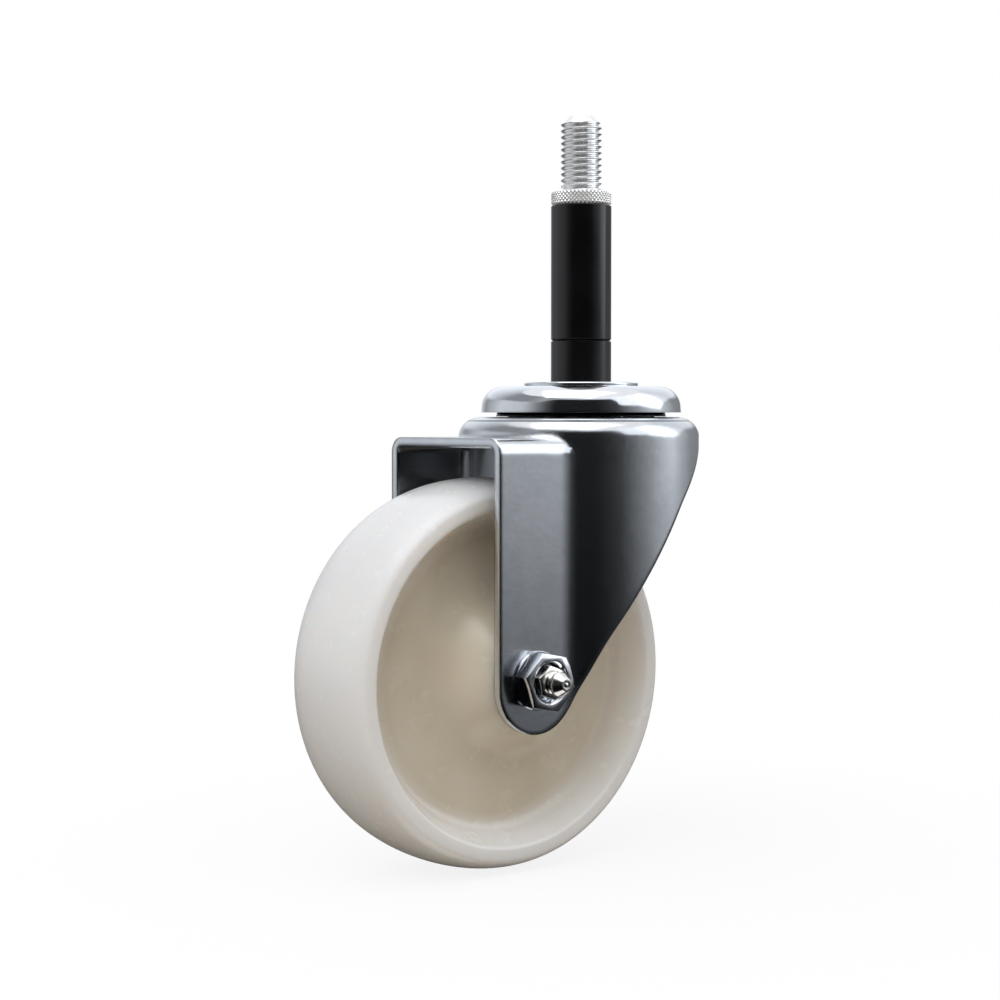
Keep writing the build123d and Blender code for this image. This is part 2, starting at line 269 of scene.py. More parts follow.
@dataclass(frozen=True)
class MetalFinish:
    """Plated or bare metal: a slightly mottled colour, uneven gloss and a fine grain.

    Attributes:
        name: The material's name.
        colour: Colour of the reflection.
        shade: Colour of its darker mottling.
        gloss: Roughness of the smoothest and of the roughest spots.
        grain: Size of the grain in metres.
        depth: Depth of the grain in metres.
        run: How the grain runs.
        mottle: Size of the colour's mottling, in grains.
        orange_peel: Depth of a broader waviness in metres.
        peel_size: Size of that waviness, in grains.
        scattered: Share of the light that fine tool marks scatter instead of mirroring.
        rolled_edge: Radius that worn and rolled edges seem to have, in metres.
        soft_crease: Radius that the crease between leg and dome seems to have, in metres.
        inside: Share of the colour left on the hidden inside of the fork's channel, which is
            darkened there as painted shade.
    """

    name: str
    colour: Colour
    shade: Colour
    gloss: Span
    grain: float
    depth: float
    run: Grain = Grain.SPECKLED
    mottle: float = 14.0
    orange_peel: float = 0.0
    peel_size: float = 3.0
    scattered: float = 0.0
    rolled_edge: float = 0.0
    soft_crease: float = 0.0
    inside: float = 1.0

    def material(self) -> bpy.types.Material:
        """Make the material."""
        shader = Shader(self.name)
        place = shader.place(self.run.value)
        fine = shader.noise(place, self.grain, 3.0, 0.6)
        broad = shader.noise(place, self.grain * self.mottle, 3.0, 0.6)
        colour = shader.ramp(broad, [(0.35, self.shade), (0.65, self.colour)])
        # Painted shade: the colour of the fork's inside faces is darkened, standing in for the
        # shade there.
        if self.inside < 1.0:
            colour = self.painted_inside_shade(shader, colour)
        roughness = shader.spread(fine, *self.gloss)
        normal = None
        if self.rolled_edge:
            normal = self.rolled(shader)
        if self.orange_peel:
            wave = shader.noise(place, self.grain * self.peel_size)
            normal = shader.bump(wave, self.orange_peel, normal)
        normal = shader.bump(fine, self.depth, normal)
        return shader.surface(
            Base_Color=colour, Metallic=1.0 - self.scattered, Roughness=roughness, Normal=normal
        )

    def painted_inside_shade(self, shader: Shader, colour: Socket) -> Socket:
        """Paint shade on the fork's hidden inside, where little light falls, by darkening its
        colour.

        Args:
            shader: The shader to add to.
            colour: The socket with the plate's colour.

        Returns:
            The socket with the colour, darkened by painted shade where the sheet faces the wheel.
        """
        place = shader.parts(shader.place())
        facing = shader.parts(shader.node("TexCoord").outputs["Normal"])
        towards_middle = shader.combine("MULTIPLY", place["Y"], facing["Y"])
        leg = shader.spread(towards_middle, 1.0, 0.0, -8.0 * MM, -2.0 * MM)
        downwards = shader.spread(facing["Z"], 1.0, 0.0, -0.8, -0.4)
        high_up = shader.spread(place["Z"], 0.0, 1.0, -21.0 * MM, -20.0 * MM)
        roof = shader.combine("MULTIPLY", downwards, high_up)
        from_axis = shader.length(shader.place((1.0, 1.0, 0.0), DOME))
        off_wall = shader.combine("ABSOLUTE", shader.combine("SUBTRACT", from_axis, DOME_INSIDE))
        wall = shader.spread(off_wall, 1.0, 0.0, 0.3 * MM, 0.4 * MM)
        # Painted shade mask: the legs' inner faces, the roof's underside and the dome's inner wall.
        hidden = shader.combine("MAXIMUM", shader.combine("MAXIMUM", leg, roof), wall)
        left = shader.spread(hidden, 1.0, self.inside, 0.0, 1.0)
        return shader.mix("RGBA", 1.0, colour, left, "MULTIPLY")

    def rolled(self, shader: Shader) -> Socket:
        """Rounded look of the sheet's edges, kept off the seam where the dome meets the channel.

        Args:
            shader: The shader to add to.

        Returns:
            The socket with the surface's direction.
        """
        place = shader.parts(shader.place())
        off_crease = shader.combine("ABSOLUTE", shader.combine("SUBTRACT", place["X"], CREASE_X))
        reach = shader.spread(off_crease, self.soft_crease, self.rolled_edge, 3.0 * MM, 7.0 * MM)
        rounding = shader.node("Bevel", Radius=reach)
        rounding.samples = 12
        off_seam = shader.combine("ABSOLUTE", shader.combine("SUBTRACT", place["Z"], SEAM_Z))
        seam = shader.spread(off_seam, 1.0, 0.0, self.rolled_edge, self.rolled_edge * 1.2)
        dome = shader.spread(place["X"], 0.0, 1.0, CREASE_X - 0.5 * MM, CREASE_X + 0.5 * MM)
        plain = shader.node("NewGeometry").outputs["Normal"]
        share = shader.combine("MULTIPLY", seam, dome)
        return shader.mix("VECTOR", share, rounding.outputs["Normal"], plain)


@dataclass(frozen=True)
class BlackFinish:
    """Black rubber or plastic with a soft sheen.

    Attributes:
        name: The material's name, which is also the record's slot.
        colour: The colour all over.
        gloss: Roughness where it is smoothest and where it is smeared.
        grain: Size of the skin's fine texture in metres.
        depth: Depth of that texture in metres.
        smear_size: Size of the smears, in grains.
        smear_lift: How many times lighter the smears are.
        index: Index of refraction.
    """

    name: str
    colour: Colour
    gloss: Span
    grain: float
    depth: float
    smear_size: float = 30.0
    smear_lift: float = 1.7
    index: float = 1.5

    def material(self) -> bpy.types.Material:
        """Make the material."""
        shader = Shader(self.name)
        place = shader.place()
        fine = shader.noise(place, self.grain, 3.0, 0.6)
        smears = shader.noise(place, self.grain * self.smear_size, 4.0, 0.6)
        lighter = tuple(part * self.smear_lift for part in self.colour)
        colour = shader.ramp(smears, [(0.4, self.colour), (0.7, lighter)])
        roughness = shader.spread(smears, *self.gloss)
        normal = shader.bump(fine, self.depth)
        return shader.surface(
            Base_Color=colour, Roughness=roughness, Normal=normal, IOR=self.index
        )


@dataclass(frozen=True)
class NylonFinish:
    """Milky moulded nylon: cool white rim, a lighter and creamier lip that is painted light, and a
    darker, warmer web that is painted shade.

    Attributes:
        name: The material's name, which is also the record's slot.
        rim: Colour of the thick rim.
        lip: Colour of the slope between rim and web, lighter and creamier than the rim as painted
            light.
        shaded_web: Colour of the web, darker and warmer than the rim as painted shade.
        shaded_web_cloud: Colour of the web's cloudy patches, darker still: painted shade with
            random mottling.
        gloss: Roughness of the smoothest and of the roughest spots.
        milk: How much of the light goes through the skin.
        depth: How far that light spreads, in metres.
        reach: How far red, green and blue light spread, as shares of that depth.
        slope: Radii between which the lip's colour turns into the rim's.
        web_end: Shares of the slope between which the web's colour ends.
        cloud_size: Size of the cloudy patches in metres.
        skin_size: Size of the uneven spots in the gloss, in metres.
        index: Index of refraction.
    """

    name: str
    rim: Colour
    lip: Colour
    shaded_web: Colour
    shaded_web_cloud: Colour
    gloss: Span
    milk: float
    depth: float
    reach: Colour = (1.0, 0.85, 0.7)
    slope: Span = (0.034, 0.048)
    web_end: Span = (0.12, 0.5)
    cloud_size: float = 0.03
    skin_size: float = 0.006
    index: float = 1.53

    def material(self) -> bpy.types.Material:
        """Make the material."""
        shader = Shader(self.name)
        radius = shader.length(shader.place((1.0, 0.0, 1.0), AXLE))
        # Painted light and shade by radius: the lip is painted lighter than the rim, the web darker
        # and warmer.
        out = shader.spread(radius, 0.0, 1.0, *self.slope)
        cloud = shader.noise(shader.place(centre=AXLE), self.cloud_size, 2.0, 0.45)
        shaded_web = shader.ramp(cloud, [(0.35, self.shaded_web_cloud), (0.65, self.shaded_web)])
        rim = shader.ramp(out, [(0.0, self.lip), (1.0, self.rim)])
        colour = shader.mix("RGBA", shader.spread(out, 0.0, 1.0, *self.web_end), shaded_web, rim)
        skin = shader.noise(shader.place(), self.skin_size, 3.0, 0.5)
        return shader.surface(
            Base_Color=colour,
            Roughness=shader.spread(skin, *self.gloss),
            IOR=self.index,
            Subsurface_Weight=self.milk,
            Subsurface_Radius=self.reach,
            Subsurface_Scale=self.depth,
        )


FINISHES = (
    MetalFinish(
        name="bright_zinc",
        colour=(0.82, 0.84, 0.88),
        shade=(0.76, 0.79, 0.84),
        gloss=(0.07, 0.13),
        grain=0.00035,
        depth=0.0000015,
    ),
    MetalFinish(
        name="cut_zinc",
        colour=(0.99, 1.0, 1.0),
        shade=(0.95, 0.96, 0.98),
        gloss=(0.22, 0.28),
        grain=0.00035,
        depth=0.0000008,
        scattered=0.4,
    ),
    MetalFinish(
        name="rolled_zinc",
        colour=(0.99, 1.0, 1.0),
        shade=(0.95, 0.96, 0.98),
        gloss=(0.14, 0.20),
        grain=0.00035,
        depth=0.0000005,
        scattered=0.2,
    ),
    MetalFinish(
        name="zinc_sheet",
        colour=(0.75, 0.78, 0.82),
        shade=(0.69, 0.72, 0.76),
        gloss=(0.15, 0.22),
        grain=0.0005,
        depth=0.000007,
        orange_peel=0.000012,
        rolled_edge=0.0016,
        soft_crease=0.0024,
        # Painted shade: the fork's inside keeps only this share of its colour.
        inside=0.3,
    ),
    MetalFinish(
        name="bare_steel",
        colour=(0.56, 0.56, 0.56),
        shade=(0.48, 0.48, 0.49),
        gloss=(0.28, 0.42),
        grain=0.0005,
        depth=0.000006,
        run=Grain.UPRIGHT,
    ),
    MetalFinish(
        name="ball_steel",
        colour=(0.76, 0.76, 0.77),
        shade=(0.70, 0.70, 0.71),
        gloss=(0.06, 0.12),
        grain=0.0006,
        depth=0.000001,
    ),
    MetalFinish(
        name="nickel",
        colour=(0.90, 0.88, 0.84),
        shade=(0.84, 0.82, 0.78),
        gloss=(0.14, 0.22),
        grain=0.0004,
        depth=0.000002,
    ),
    BlackFinish(
        name="black_rubber",
        colour=(0.003, 0.003, 0.0035),
        gloss=(0.12, 0.24),
        grain=0.00045,
        depth=0.000004,
    ),
    BlackFinish(
        name="black_plastic",
        colour=(0.004, 0.004, 0.0045),
        gloss=(0.14, 0.26),
        grain=0.0005,
        depth=0.000003,
    ),
    NylonFinish(
        name="white_nylon",
        rim=(0.83, 0.835, 0.845),
        # Painted light: the lip is lighter and creamier than the rim.
        lip=(0.92, 0.88, 0.80),
        # Painted shade: the web is darker and warmer than the rim.
        shaded_web=(0.75, 0.69, 0.58),
        shaded_web_cloud=(0.67, 0.60, 0.48),
        gloss=(0.20, 0.29),
        milk=0.8,
        depth=0.009,
    ),
)


def choose(piece: bpy.types.Object | None = None) -> None:
    """Make one object the only selected and active one, or leave nothing selected."""
    bpy.ops.object.select_all(action="DESELECT")
    if piece is not None:
        piece.select_set(True)
        bpy.context.view_layer.objects.active = piece


@contextmanager
def editing(piece: bpy.types.Object) -> Iterator[None]:
    """Open a piece's whole mesh for editing, and close it after."""
    choose(piece)
    bpy.ops.object.mode_set(mode="EDIT")
    bpy.ops.mesh.select_all(action="SELECT")
    yield
    bpy.ops.object.mode_set(mode="OBJECT")


def apply_all(piece: bpy.types.Object) -> None:
    """Apply every modifier of a piece, in order."""
    choose(piece)
    for modifier in list(piece.modifiers):
        bpy.ops.object.modifier_apply(modifier=modifier.name)


def settle(piece: bpy.types.Object, sharp: float) -> None:
    """Merge a piece's doubles, point its faces outwards and smooth it below an angle.

    Args:
        piece: The mesh object.
        sharp: Edges that turn by more than this many degrees stay sharp.
    """
    choose(piece)
    bpy.ops.object.transform_apply(location=True, rotation=True, scale=True)
    with editing(piece):
        bpy.ops.mesh.remove_doubles(threshold=MERGE)
        bpy.ops.mesh.normals_make_consistent(inside=False)
    bpy.ops.object.shade_smooth_by_angle(angle=math.radians(sharp))


def copy_of(node: str, name: str) -> bpy.types.Object:
    """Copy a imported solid's mesh into a new piece and merge its loose triangles.

    Args:
        node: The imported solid.
        name: The new piece's name.

    Returns:
        The new object, chosen.
    """
    mesh = frame["nodes"][node].data.copy()
    mesh.name = name
    mesh.materials.clear()
    piece = bpy.data.objects.new(name, mesh)
    bpy.context.scene.collection.objects.link(piece)
    choose(piece)
    if mesh.has_custom_normals:
        bpy.ops.mesh.customdata_custom_splitnormals_clear()
    with editing(piece):
        bpy.ops.mesh.remove_doubles(threshold=MERGE)
    return piece


def soften(
    piece: bpy.types.Object, width: float, angle: float = 28.0, segments: int = 2
) -> None:
    """Round the edges of a piece that turn by more than an angle.

    Args:
        piece: The mesh object, its doubles merged.
        width: Width of the rounding in metres.
        angle: Edges that turn by less than this many degrees are left.
        segments: Faces across the rounding.
    """
    with editing(piece):
        bpy.ops.mesh.dissolve_limited(angle_limit=FLAT)
    bevel = piece.modifiers.new("rounded edges", "BEVEL")
    bevel.width = width
    bevel.segments = segments
    bevel.limit_method = "ANGLE"
    bevel.angle_limit = math.radians(angle)
    bevel.miter_outer = "MITER_ARC"
    apply_all(piece)


def even_out(piece: bpy.types.Object) -> None:
    """Let a piece's large faces rule its shading, so that flats look flat by their roundings."""
    weights = piece.modifiers.new("weighted normals", "WEIGHTED_NORMAL")
    weights.keep_sharp = True
    apply_all(piece)


def steps(low: float, high: float, count: int) -> list[float]:
    """Evenly spaced values from low to high, both included."""
    return [low + (high - low) * index / count for index in range(count + 1)]


def stack(
    name: str, heights: list[float], segments: int, radius: Callable[[float, float], float]
) -> bpy.types.Object:
    """Closed round form about Z whose radius varies with angle and height.

    Args:
        name: The piece's name.
        heights: Heights of its rings, from the lowest.
        segments: Points round each ring.
        radius: Gives the radius at an angle in radians and a height.

    Returns:
        The new object.
    """
    choose()
    bpy.ops.mesh.primitive_circle_add(
        vertices=segments, radius=1.0, fill_type="NGON", location=(0, 0, 0)
    )
    piece = bpy.context.object
    piece.name = piece.data.name = name
    with editing(piece):
        bpy.ops.transform.translate(value=(0, 0, heights[0]))
        for low, high in pairwise(heights):
            rise = {"value": (0, 0, high - low)}
            bpy.ops.mesh.extrude_region_move(TRANSFORM_OT_translate=rise)
    for vertex in piece.data.vertices:
        angle = math.atan2(vertex.co.y, vertex.co.x)
        reach = radius(angle, vertex.co.z)
        vertex.co.x, vertex.co.y = reach * math.cos(angle), reach * math.sin(angle)
    return piece


def drill(piece: bpy.types.Object, radius: float, low: float, high: float) -> None:
    """Bore a round hole along Z through a piece.

    Args:
        piece: The mesh object.
        radius: The hole's radius.
        low: Where the cutter starts.
        high: Where the cutter ends.
    """
    choose()
    bpy.ops.mesh.primitive_cylinder_add(
        vertices=ROUND_SIDES, radius=radius, depth=high - low, location=(0, 0, (low + high) / 2)
    )
    cutter = bpy.context.object
    bore = piece.modifiers.new("bore", "BOOLEAN")
    bore.operation = "DIFFERENCE"
    bore.solver = "EXACT"
    bore.object = cutter
    apply_all(piece)
    bpy.data.objects.remove(cutter)


@dataclass
class Wardrobe:
    """The finishes, made once and shared.

    Attributes:
        finishes: All the finishes that the caster wears.
    """

    finishes: tuple[MetalFinish | BlackFinish | NylonFinish, ...]

    def __post_init__(self) -> None:
        """Make every material."""
        self.made = {finish.name: finish.material() for finish in self.finishes}

    def dress(self, piece: bpy.types.Object, finish: str) -> None:
        """Give a piece one of the finishes."""
        piece.data.materials.clear()
        piece.data.materials.append(self.made[finish])

    def dress_nodes(self) -> None:
        """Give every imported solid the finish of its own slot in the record."""
        for row in frame["record"]["subparts"]:
            solid = frame["nodes"][row["node"]]
            for place in solid.material_slots:
                place.material = self.made[row["material_slot"]]
            if not solid.material_slots:
                solid.data.materials.append(self.made[row["material_slot"]])

    def stand_in(
        self, piece: bpy.types.Object, node: str, body: str, slot: str, finish: str | None = None
    ) -> None:
        """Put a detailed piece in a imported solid's place.

        Args:
            piece: The detailed piece.
            node: The solid that it replaces.
            body: The body that it rides on.
            slot: The record's slot that its finish has.
            finish: The finish to use, if it isn't named as the slot is.
        """
        self.dress(piece, finish or slot)
        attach(piece, body)
        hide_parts(node)
        LOG.info("%s stands for %s", piece.name, node)


@dataclass
class Stem:
    """The expanding stem: threaded stud, knurled nut and rubber.

    Attributes:
        bolt_radius: Outside radius of the thread.
        pitch: Height of one turn of the thread.
        thread_depth: Depth of the thread.
        flanks: Share of a turn that the two flanks take.
        run_out: Length of hidden thread under the knurled nut.
        point: Length of the cone at the stud's tip.
        turn_rings: Rings of points in one turn of the thread.
        thread_sides: Points round each of these rings.
        head_edge: Rounding of the bolt's head.
        knurl_count: Ridges round the knurled nut, each way.
        knurl_depth: Depth of the knurl.
        knurl_pitch: Height of one diamond of the knurl.
        knurl_edge: Broken edge at both ends of the knurl.
        knurl_rings: Steps of the knurl from end to end.
        ridge_sides: Points across one ridge.
        nut_play: Clearance of the nut's bore round the thread.
    """

    bolt_radius: float = 5.55 * MM
    pitch: float = 1.65 * MM
    thread_depth: float = 0.85 * MM
    flanks: float = 0.96
    run_out: float = 6.0 * MM
    point: float = 2.1 * MM
    turn_rings: int = 14
    thread_sides: int = 80
    head_edge: float = 0.25 * MM
    knurl_count: int = 44
    knurl_depth: float = 0.42 * MM
    knurl_pitch: float = 1.15 * MM
    knurl_edge: float = 0.35 * MM
    knurl_rings: int = 36
    ridge_sides: int = 8
    nut_play: float = 0.06 * MM

    def __post_init__(self) -> None:
        """Read where the bolt and the knurled nut are."""
        self.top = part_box("expander_bolt")[1].z
        self.nut_low, self.nut_high = (corner.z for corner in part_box("knurled_nut"))
        self.nut_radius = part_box("knurled_nut")[1].x

    def thread_radius(self, angle: float, height: float) -> float:
        """Radius of the right-hand thread at an angle and a height."""
        turn = (height / self.pitch - angle / math.tau) % 1.0
        away = abs(turn - 0.5) * 2
        flank = (1.0 - math.cos(math.pi * min(away / self.flanks, 1.0))) / 2
        thread = self.bolt_radius - self.thread_depth * flank
        cone = self.bolt_radius - max(0.0, height - (self.top - self.point))
        return min(thread, cone)

    def stud(self, wardrobe: Wardrobe) -> None:
        """The long bolt with a cut thread at its upper end."""
        start = self.nut_low - self.run_out
        rings = round((self.top - start) / self.pitch * self.turn_rings)
        heights = steps(start, self.top, rings)
        thread = stack("stud_thread", heights, self.thread_sides, self.thread_radius)
        bolt = copy_of("expander_bolt", "expander_bolt_threaded")
        with editing(bolt):
            bpy.ops.mesh.bisect(
                plane_co=(0, 0, start), plane_no=(0, 0, 1), use_fill=True, clear_outer=True
            )
        soften(bolt, self.head_edge)
        thread.select_set(True)
        bpy.ops.object.join()
        settle(bolt, sharp=50.0)
        wardrobe.stand_in(bolt, "expander_bolt", "bolt", "bright_zinc", "rolled_zinc")

    def knurl_radius(self, angle: float, height: float) -> float:
        """Radius of the diamond knurl at an angle and a height."""
        around = angle / math.tau * self.knurl_count
        up = (height - self.nut_low) / self.knurl_pitch
        pit = max(abs((around + way * up) % 1.0 - 0.5) * 2 for way in (1, -1))
        edge = max(0.0, self.knurl_edge - min(height - self.nut_low, self.nut_high - height))
        return self.nut_radius - self.knurl_depth * pit - edge

    def knurled_nut(self, wardrobe: Wardrobe) -> None:
        """The round nut with its diamond knurl."""
        heights = steps(self.nut_low, self.nut_high, self.knurl_rings)
        sides = self.knurl_count * self.ridge_sides
        nut = stack("knurled_nut_cut", heights, sides, self.knurl_radius)
        drill(nut, self.bolt_radius + self.nut_play, self.nut_low - MM, self.nut_high + MM)
        settle(nut, sharp=40.0)
        wardrobe.stand_in(nut, "knurled_nut", "draw_nut", "bright_zinc", "cut_zinc")

    def sleeve(self, wardrobe: Wardrobe) -> None:
        """The rubber, which on the real caster shortens as the knurled nut comes down on it; here
        it is a copy with a mesh of its own.
        """
        rubber = copy_of("expander_sleeve", "expander_sleeve_rubber")
        settle(rubber, sharp=40.0)
        wardrobe.stand_in(rubber, "expander_sleeve", "head", "black_rubber")
        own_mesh(rubber)

    def build(self, wardrobe: Wardrobe) -> None:
        """Make the stem's detailed pieces."""
        self.stud(wardrobe)
        self.knurled_nut(wardrobe)
        self.sleeve(wardrobe)


@dataclass
class SwivelHead:
    """The pressed cap and the flange on top of it.

    Attributes:
        lip: Rounding of the cap's pressed lip.
        flange_edge: Rounding of the flange over the cap.
    """

    lip: float = 0.45 * MM
    flange_edge: float = 0.12 * MM

    def build(self, wardrobe: Wardrobe) -> None:
        """Make the cap with its rolled lip and the flange with soft edges."""
        for node, edge in (("top_cap", self.lip), ("kingpin", self.flange_edge)):
            piece = copy_of(node, node + "_finished")
            soften(piece, edge, angle=35.0, segments=3)
            settle(piece, sharp=40.0)
            wardrobe.stand_in(piece, node, "head", "bright_zinc")


@dataclass
class Fork:
    """The pressed sheet with its seam closed and its trimmed edges rounded.

    Attributes:
        edge: Rounding of the trimmed edges.
        seam: Width of the step between channel and dome that is closed.
        on_wall: Points nearer to the dome's wall than this are on it already.
    """

    edge: float = 0.5 * MM
    seam: float = 0.06 * MM
    on_wall: float = 0.02 * MM

    def close_seam(self, piece: bpy.types.Object) -> None:
        """Move the channel's round end out to the dome's wall."""
        for vertex in piece.data.vertices:
            flat = Vector((vertex.co.x - DOME.x, vertex.co.y, 0.0))
            for wall in (DOME_INSIDE, DOME_INSIDE + SHEET):
                if self.on_wall < wall - flat.length < self.seam:
                    vertex.co += flat.normalized() * (wall - flat.length)

    def build(self, wardrobe: Wardrobe) -> None:
        """Make the fork's detailed piece."""
        piece = copy_of("fork", "fork_finished")
        self.close_seam(piece)
        soften(piece, self.edge, angle=50.0, segments=3)
        settle(piece, sharp=35.0)
        even_out(piece)
        wardrobe.stand_in(piece, "fork", "swivel_fork", "zinc_sheet")


@dataclass
class Wheel:
    """The moulded wheel with its edges shaded as one skin.

    Attributes:
        sharp: Edges that turn by more than this many degrees stay sharp.
    """

    sharp: float = 40.0

    def build(self, wardrobe: Wardrobe) -> None:
        """Make the wheel's detailed piece."""
        piece = copy_of("wheel", "wheel_finished")
        settle(piece, self.sharp)
        even_out(piece)
        wardrobe.stand_in(piece, "wheel", "wheel_body", "white_nylon")


@dataclass
class AxleSet:
    """The axle's outer fittings: washer, nut, nipple and bolt.

    Attributes:
        nut_edge: Rounding of the nut's edges.
        washer_radius: Outside radius of the washer under the nut.
        nipple_edge: Rounding of the nipple's edges.
        head_edge: Rounding of the far head's edges.
    """

    nut_edge: float = 0.16 * MM
    washer_radius: float = 7.5 * MM
    nipple_edge: float = 0.08 * MM
    head_edge: float = 0.2 * MM

    def washer(self, wardrobe: Wardrobe) -> None:
        """The washer under the nut, whose rim shows only above the nut's flats."""
        low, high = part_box("axle_washer_near")
        piece = copy_of("axle_washer_near", "nut_washer_finished")
        share = self.washer_radius / ((high.x - low.x) / 2)
        with editing(piece):
            bpy.ops.transform.resize(
                value=(share, 1.0, share), center_override=(low + high) / 2
            )
        settle(piece, sharp=30.0)
        wardrobe.stand_in(piece, "axle_washer_near", "swivel_fork", "bright_zinc")

    def build(self, wardrobe: Wardrobe) -> None:
        """Make the axle's detailed pieces."""
        self.washer(wardrobe)
        for node, edge, slot in (
            ("axle_nut", self.nut_edge, "bright_zinc"),
            ("grease_nipple", self.nipple_edge, "nickel"),
            ("axle_bolt", self.head_edge, "bright_zinc"),
        ):
            piece = copy_of(node, node + "_finished")
            soften(piece, edge)
            settle(piece, sharp=40.0)
            wardrobe.stand_in(piece, node, "swivel_fork", slot)


@dataclass(frozen=True)
class Lamp:
    """A soft square lamp that points at the middle of the caster.

    Attributes:
        name: The lamp's name.
        azimuth: Degrees from -Y towards +X.
        height: Height above the origin in metres.
        away: Distance from the stem in metres.
        size: Width of the lamp in metres.
        power: Its power in watts.
        mirrored: Whether polished surfaces show it.
        aim: The point that it faces.
    """

    name: str
    azimuth: float
    height: float
    away: float
    size: float
    power: float
    mirrored: bool = False
    aim: tuple[float, float, float] = (-0.017, 0.0, -0.045)

    def hang(self) -> None:
        """Put the lamp in its place."""
        data = bpy.data.lights.new(self.name, "AREA")
        data.size, data.energy = self.size, self.power
        lamp = bpy.data.objects.new(self.name, data)
        bpy.context.scene.collection.objects.link(lamp)
        turn = math.radians(self.azimuth)
        spot = Vector((math.sin(turn) * self.away, -math.cos(turn) * self.away, self.height))
        facing = (spot - Vector(self.aim)).to_track_quat("Z", "Y").to_matrix().to_4x4()
        lamp.matrix_world = Matrix.Translation(spot) @ facing
        lamp.visible_glossy = self.mirrored


class Panel(NamedTuple):
    """One upright strip of the screen that polished metal mirrors.

    Attributes:
        azimuth: Degrees from -Y towards +X.
        low: Level near the horizon, where 1 is white.
        edge: Height at which the upper part starts, in metres.
        high: Level of the upper part.
    """

    azimuth: float
    low: float
    edge: float
    high: float


@dataclass
class Studio:
    """Camera, lamps, floor and the screen that polished metal mirrors.

    Attributes:
        place: Where the camera stands.
        back: Direction from what it looks at to the camera.
        up: The picture's up.
        lens: Focal length in millimetres.
        sensor: Width of the camera's sensor in millimetres.
        sky: Colour of the light that comes from all round.
        sky_level: Strength of that light.
        floor_size: Width of the floor in metres.
        floor_gap: How far under the wheel it lies.
        floor_seen: Colour of the floor under its soft shadow.
        floor_bounce: Colour that it throws back at the caster.
        floor_white: Share of plain white in it, under the caster and away from it.
        floor_fade: Distances between which the one turns into the other, in metres.
        screen_radius: Distance of the mirrored screen from the stem.
        screen_low: Height of the screen's foot.
        screen_high: Height of its upper edge, over which the white sky shows.
        brightest: Level of the brightest panel of the screen, where 1 is white.
        tint: Colour of the screen's panels.
        panels: The screen's panels, all the way round from -90 degrees.
        ground: Heights under the origin in metres and the share of a panel's level left there.
        edge_blur: How far about its edge the upper part of a panel fades in, in metres.
        lamps: The lamps.
    """

    place: Vector = Vector((-354.08, -422.30, -8.83)) * MM
    back: Vector = Vector((-0.61103, -0.79051, 0.04169))
    up: Vector = Vector((0.02550, 0.03299, 0.99913))
    lens: float = 73.18
    sensor: float = 36.0
    sky: Colour = (0.97, 0.98, 1.0)
    sky_level: float = 0.56
    floor_size: float = 12.0
    floor_gap: float = 0.2 * MM
    floor_seen: Colour = (0.95, 0.95, 0.95)
    floor_bounce: Colour = (0.52, 0.46, 0.38)
    floor_white: Span = (0.86, 1.0)
    floor_fade: Span = (0.05, 0.17)
    screen_radius: float = 1.2
    screen_low: float = -3.0
    screen_high: float = 1.5
    brightest: float = 2.4
    tint: Colour = (0.96, 0.99, 1.03)
    panels: tuple[Panel, ...] = (
        Panel(-90, 0.22, 0.5, 0.4),
        Panel(-80, 0.08, 0.8, 0.35),
        Panel(-70, 0.015, 1.0, 0.6),
        Panel(-22, 0.015, 1.0, 1.0),
        Panel(-8, 0.035, 1.0, 1.0),
        Panel(1, 0.055, 1.0, 1.0),
        Panel(6, 0.09, 0.22, 1.1),
        Panel(14, 0.17, 0.2, 1.2),
        Panel(28, 0.32, 0.17, 1.2),
        Panel(46, 0.6, 0.06, 1.9),
        Panel(62, 0.7, 0.02, 2.3),
        Panel(74, 0.52, 0.3, 1.0),
        Panel(92, 0.3, 0.4, 0.8),
        Panel(122, 0.22, 0.2, 1.0),
        Panel(140, 0.85, 0.15, 1.1),
        Panel(158, 0.7, 0.2, 1.0),
        Panel(178, 0.3, 0.3, 0.8),
        Panel(215, 0.7, 0.5, 0.3),
        Panel(250, 0.6, 0.5, 0.28),
        Panel(270, 0.22, 0.5, 0.4),
    )
    ground: tuple[Span, ...] = (
        (-1.0, 0.05),
        (-0.6, 0.07),
        (-0.28, 0.2),
        (-0.16, 0.52),
        (-0.03, 1.0),
    )
    edge_blur: Span = (-0.04, 0.09)
    lamps: tuple[Lamp, ...] = (
        Lamp("overhead", azimuth=-60.0, height=1.3, away=0.35, size=1.2, power=5.0, mirrored=True),
        Lamp("left", azimuth=-62.0, height=0.6, away=0.75, size=0.7, power=2.8),
        Lamp("right", azimuth=40.0, height=0.2, away=1.1, size=0.8, power=1.0),
    )

    def camera(self) -> None:
        """Stand the camera at the photograph's viewing angle."""
        data = bpy.data.cameras.new("camera")
        data.lens = self.lens
        data.sensor_width = self.sensor
        data.clip_start, data.clip_end = 0.01, 50.0
        camera = bpy.data.objects.new("camera", data)
        bpy.context.scene.collection.objects.link(camera)
        back = self.back.normalized()
        right = self.up.cross(back).normalized()
        turn = Matrix((right, back.cross(right), back)).transposed()
        camera.matrix_world = Matrix.Translation(self.place) @ turn.to_4x4()
        bpy.context.scene.camera = camera

    def world(self) -> None:
        """White where it is seen or mirrored, a plain level where it lights."""
        world = bpy.data.worlds.new("world")
        bpy.context.scene.world = world
        world.use_nodes = True
        nodes = Nodes(world.node_tree, "World")
        rays = nodes.node("LightPath").outputs
        shown = nodes.combine("MAXIMUM", rays["Is Camera Ray"], rays["Is Glossy Ray"])
        shown = nodes.combine("MAXIMUM", shown, rays["Is Transmission Ray"])
        lit = nodes.node("Background", Color=self.sky, Strength=self.sky_level)
        seen = nodes.node("Background", Color=WHITE, Strength=1.0)
        nodes.close(nodes.mix_shaders(shown, lit.outputs[0], seen.outputs[0]))

